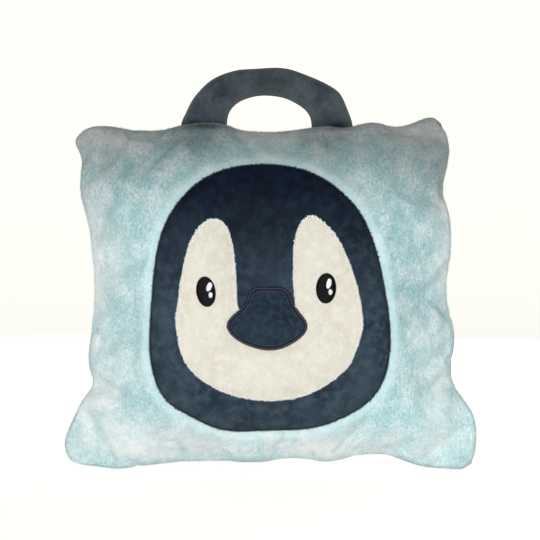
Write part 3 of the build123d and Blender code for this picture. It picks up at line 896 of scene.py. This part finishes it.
def arched(starts, ends, height_at, rise, steps=4):
    """Paths over the front from starts to ends, in the seam plane, that bow up off the cloth."""
    t = np.linspace(0, 1, steps + 1)
    places = starts[:, None] * (1 - t)[None, :, None] + ends[:, None] * t[None, :, None]
    flat = places.reshape(-1, 2)
    bow = np.tile(rise * np.sin(pi * t), len(starts))
    points = on_front(flat, height_at(flat) + bow)
    return [points[i : i + steps + 1] for i in range(0, len(points), steps + 1)]


def zigzag(outline, pitch, outside, inside, height_at, rise, seed=1, ragged=0.12):
    """A closed zigzag of satin stitches along an outline, from outside it to inside it."""
    count = int(outline.length / pitch)
    at, normal = outline.frames(2 * count)
    wobble = np.random.default_rng(seed).normal(0, ragged, (2 * count, 1)) * (inside + outside)
    outer = at - normal * (outside + wobble)
    inner = at + normal * (inside + wobble)
    starts = np.vstack([outer[0::2], inner[1::2]])
    ends = np.vstack([inner[1::2], np.roll(outer[0::2], -1, axis=0)])
    return arched(starts, ends, height_at, rise)


def running(outline, inset, length, gap, height_at, rise):
    """A line of running stitches inside an outline."""
    count = int(outline.length / (length + gap))
    at, normal = outline.frames(10 * count)
    at = at + normal * inset
    share = length / (length + gap)
    starts, ends = at[0::10], at[int(round(10 * share)) % 10 or 9 :: 10]
    return arched(starts, ends[: len(starts)], height_at, rise, 3)


def satin_fill(centre, half_sizes, lean, pitch, height_at, rise):
    """Satin stitches side by side across a leaning ellipse."""
    angle = radians(lean)
    u_axis, v_axis = np.array([cos(angle), sin(angle)]), np.array([-sin(angle), cos(angle)])
    rows = np.arange(-half_sizes[1] + pitch / 2, half_sizes[1], pitch)
    half = half_sizes[0] * np.sqrt(np.maximum(0, 1 - (rows / half_sizes[1]) ** 2)) + 0.1
    middle = np.array(centre) + rows[:, None] * v_axis
    starts, ends = (middle - half[:, None] * u_axis) * MM, (middle + half[:, None] * u_axis) * MM
    return arched(starts, ends, height_at, rise, 6)


cloth_patch("head_velour", head, 3.2 * MM, nothing, own_head, head_velour, "head_applique")
cloth_patch("face_fleece", face, 2.6 * MM, own_head, own_face, cream_fleece, "face_applique")
cloth_patch("beak_velour", beak, 1.6 * MM, upto_face, own_beak, beak_velour, "beak_applique")

zigzag_path = zigzag(head, 2.2 * MM, 1.2 * MM, 1.0 * MM, own_head, 0.5 * MM)
head_edge = threads("head_edge_zigzag", zigzag_path, 0.36 * MM, dark_thread)
sewn(head_edge, "head_edge_stitching")
zigzag_path = zigzag(face, 2.2 * MM, 1.6 * MM, 0.7 * MM, upto_face, 0.6 * MM, 2)
face_edge = threads("face_edge_zigzag", zigzag_path, 0.5 * MM, cream_thread)
sewn(face_edge, "face_edge_stitching")

# The satin in its lit tone: a painted highlight on the border's ridge.
zigzag_path = zigzag(beak, 0.7 * MM, 0.1 * MM, 1.7 * MM, upto_beak, 0.5 * MM, 3, 0.03)
beak_satin = threads("beak_satin_border", zigzag_path, 0.26 * MM, beak_lit_thread)
sewn(beak_satin, "beak_border_stitching")
# Near-black lines along the satin's outer and inner edges: painted shade where the rounded border turns
# away.
for name, inset in (("beak_outer_shade_line", -0.2), ("beak_middle_shade_line", 2.3)):
    line_path = running(beak, inset * MM, 2.2 * MM, 0.05 * MM, upto_beak, 0.35 * MM)
    edge_shade_line = threads(name, line_path, 0.34 * MM, edge_shade_thread)
    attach(edge_shade_line, "cushion")
line_path = running(beak, 3.6 * MM, 2.0 * MM, 0.25 * MM, upto_beak, 0.25 * MM)
beak_line = threads("beak_inner_line", line_path, 0.32 * MM, line_thread)
sewn(beak_line, "beak_inner_stitching")

for eye_name, (ball, upper, lower) in EYES.items():
    fills = [
        (eye_name, ball, 0.42, 0.7 * MM, 0.30 * MM, eye_thread, "black_thread"),
        (eye_name + "_upper_highlight", upper, 0.4, 1.3 * MM, 0.30 * MM, white_thread, "white_thread"),
        (eye_name + "_lower_highlight", lower, 0.4, 1.3 * MM, 0.30 * MM, white_thread, "white_thread"),
    ]
    for name, shape, pitch, rise, radius, material, slot_name in fills:
        stitches = satin_fill(*shape, pitch, upto_face, rise)
        sewn(threads(name + "_satin", stitches, radius, material), name)
    rim_outline = Outline(ellipse(*ball), 0.6 * MM)
    rim_path = zigzag(rim_outline, 0.7 * MM, 0.35 * MM, 0.9 * MM, upto_face, 0.75 * MM, 4, 0.03)
    rim = threads(eye_name + "_rim", rim_path, 0.26 * MM, eye_thread)
    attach(rim, "cushion")

# ---------------------------------------------------------------- the handle

HANDLE_COLUMNS, HANDLE_RING = 140, 40


def handle_mesh():
    """The stuffed band: a lens-shaped section carried between the two edges of the arch."""
    outer, inner = spline(HANDLE_OUTER, HANDLE_COLUMNS), spline(HANDLE_INNER, HANDLE_COLUMNS)
    turn = np.linspace(0, 2 * pi, HANDLE_RING, endpoint=False)
    across = (0.5 - 0.5 * np.cos(turn))[None, :, None]
    flat = inner[:, None] * (1 - across) + outer[:, None] * across
    height = flat[..., 1]
    fullness = 1.5 + 5.6 * np.clip((height / MM - 298) / 20, 0, 1) ** 0.7
    lens = np.sign(np.sin(turn)) * np.abs(np.sin(turn)) ** 0.85
    y = -fullness * MM * lens[None, :]
    points = np.stack([flat[..., 0], y, height], axis=-1).reshape(-1, 3)
    dents = noise(points, 14 * MM, 5) * 0.45 + noise(points, 5 * MM, 6) * 0.22
    points[:, 1] += np.sign(-points[:, 1]) * np.abs(dents) * MM * np.abs(np.tile(lens, HANDLE_COLUMNS))
    edge = np.minimum(across[0, :, 0], 1 - across[0, :, 0])
    index = np.arange(len(points)).reshape(HANDLE_COLUMNS, HANDLE_RING)
    after = np.roll(index, -1, axis=1)
    faces = np.stack([index[:-1], after[:-1], after[1:], index[1:]], axis=-1).reshape(-1, 4)
    ends = [tuple(index[0]), tuple(reversed(index[-1]))]
    return points, [tuple(f) for f in faces] + ends, np.tile(near(edge, 0, 0.07), HANDLE_COLUMNS)


points, faces, edge = handle_mesh()
handle = make_object("handle_band", points, faces, handle_velour)
# Painted sheen: the band's two edges are painted paler.
paint(handle, "halo", edge)
brush(handle)
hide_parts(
    "handle_front_cover", "handle_back_cover", "handle_padding", "handle_left_tab", "handle_right_tab"
)
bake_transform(handle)

# ---------------------------------------------------------------- the zip


def on_track(angle, up, depth):
    """A point by its angle along the track, its height up the slope and its depth in the back."""
    radius = ZIP_RADIUS + up * sin(ZIP_LEAN) - depth * cos(ZIP_LEAN)
    z = ZIP_Z + up * cos(ZIP_LEAN) + depth * sin(ZIP_LEAN)
    return Vector((radius * sin(angle), ZIP_AXIS_Y + radius * cos(angle), z))


COIL_PITCH = 1.7 * MM
# One turn of the coil: millimetres above the closing line, and into the back
COIL_TURN = [(2.9, 2.4), (2.4, 1.2), (1.2, 0.9), (0.1, 0.95), (-0.35, 1.5), (-0.2, 2.2)]
coil_half = atan(112 * MM / ZIP_RADIUS)
for name, side in (("zip_coil_upper", 1), ("zip_coil_lower", -1)):
    turns = []
    for number in range(int(2 * coil_half * ZIP_RADIUS / COIL_PITCH)):
        angle = -coil_half + (number + 0.25 * (1 + side)) * COIL_PITCH / ZIP_RADIUS
        turns.append([on_track(angle, side * up * MM, depth * MM) for up, depth in COIL_TURN])
    coil = threads(name + "_turns", turns, 0.62 * MM, coil_nylon)
    sewn(coil, name)

for name, material in (
    ("zip_tape_upper", zip_twill), ("zip_tape_lower", zip_twill), ("zip_shut_stop", zip_metal),
    ("zip_open_stop", zip_metal), ("zip_slider", zip_metal), ("zip_pull", zip_metal),
):
    mesh = frame["nodes"][name].data
    mesh.materials.clear()
    mesh.materials.append(material)

# Topstitching beside the zip
STITCH_PITCH, STITCH_LENGTH = 3.2 * MM, 2.5 * MM
slot_half = ZIP_REACH / ZIP_RADIUS
stitches = []
for side in (-1, 1):
    for number in range(int(2 * slot_half * ZIP_RADIUS / STITCH_PITCH)):
        start = -slot_half + number * STITCH_PITCH / ZIP_RADIUS
        arc = [start + share * STITCH_LENGTH / ZIP_RADIUS for share in (0, 0.3, 0.7, 1)]
        stitches.append([
            on_track(a, side * 10.4 * MM, depth * MM) for a, depth in zip(arc, (0.5, -0.25, -0.25, 0.5))
        ])
topstitch = threads("zip_topstitching", stitches, 0.3 * MM, plush_thread)
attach(topstitch, "cushion")

# ---------------------------------------------------------------- floor, light and camera


def lamp(name, place, aim, size, power):
    """A white disk lamp that the camera doesn't see."""
    light = bpy.data.lights.new(name, "AREA")
    light.shape = "DISK"
    light.size, light.energy = size, power
    obj = bpy.data.objects.new(name, light)
    bpy.context.scene.collection.objects.link(obj)
    obj.location = place
    obj.rotation_euler = (Vector(aim) - Vector(place)).to_track_quat("-Z", "Y").to_euler()
    obj.visible_camera = False


def studio_dish():
    """A pale floor that curves up into a wall all round. It only shows, and throws no light."""
    bend = [(2.8 + sin(a), 1 - cos(a)) for a in np.linspace(0, pi / 2, 13)]
    profile = [(0.0, 0.0), (1.0, 0.0)] + bend + [(3.8, 6.0)]
    turns = 64
    around = [2 * pi * k / turns for k in range(turns)]
    vertices = [(radius * cos(a), radius * sin(a), z) for radius, z in profile for a in around]
    faces = []
    for row in range(len(profile) - 1):
        for k in range(turns):
            a, b = row * turns + k, row * turns + (k + 1) % turns
            faces.append((a, b, b + turns, a + turns))
    floor = make_object("studio_floor", vertices, faces, None)
    material = bpy.data.materials.new("studio_paper")
    material.use_nodes = True
    shader = material.node_tree.nodes["Principled BSDF"]
    shader.inputs["Base Color"].default_value = (0.8, 0.8, 0.77, 1)
    shader.inputs["Roughness"].default_value = 0.9
    shader.inputs["Specular IOR Level"].default_value = 0.1
    shader.inputs["Emission Color"].default_value = (1, 1, 0.92, 1)
    shader.inputs["Emission Strength"].default_value = 0.62
    floor.data.materials.append(material)
    floor.visible_diffuse = floor.visible_glossy = floor.visible_shadow = False


studio_dish()
lamp("front_key", (-0.8, -2.0, 0.25), (0, 0, 0.15), 1.3, 18.5)
lamp("front_fill", (0.9, -1.9, 0.2), (0, 0, 0.15), 1.3, 12)
lamp("low_bounce", (0, -0.9, -0.7), (0, 0, 0.03), 0.9, 2.0)
lamp("rear_fill", (0.8, 2.0, 0.9), (0, 0, 0.15), 1.2, 16)

world = bpy.data.worlds.new("studio")
world.use_nodes = True
world.node_tree.nodes["Background"].inputs["Color"].default_value = (1, 1, 1, 1)
world.node_tree.nodes["Background"].inputs["Strength"].default_value = 0.42
bpy.context.scene.world = world

camera_data = bpy.data.cameras.new("camera")
camera_data.lens = camera_data.sensor_width * -EYE.y / VIEW_WIDTH
camera_data.clip_end = 20
camera = bpy.data.objects.new("camera", camera_data)
bpy.context.scene.collection.objects.link(camera)
camera.location = EYE
camera.rotation_euler = (pi / 2, 0, 0)
bpy.context.scene.camera = camera
bpy.context.scene.view_settings.view_transform = "Standard"
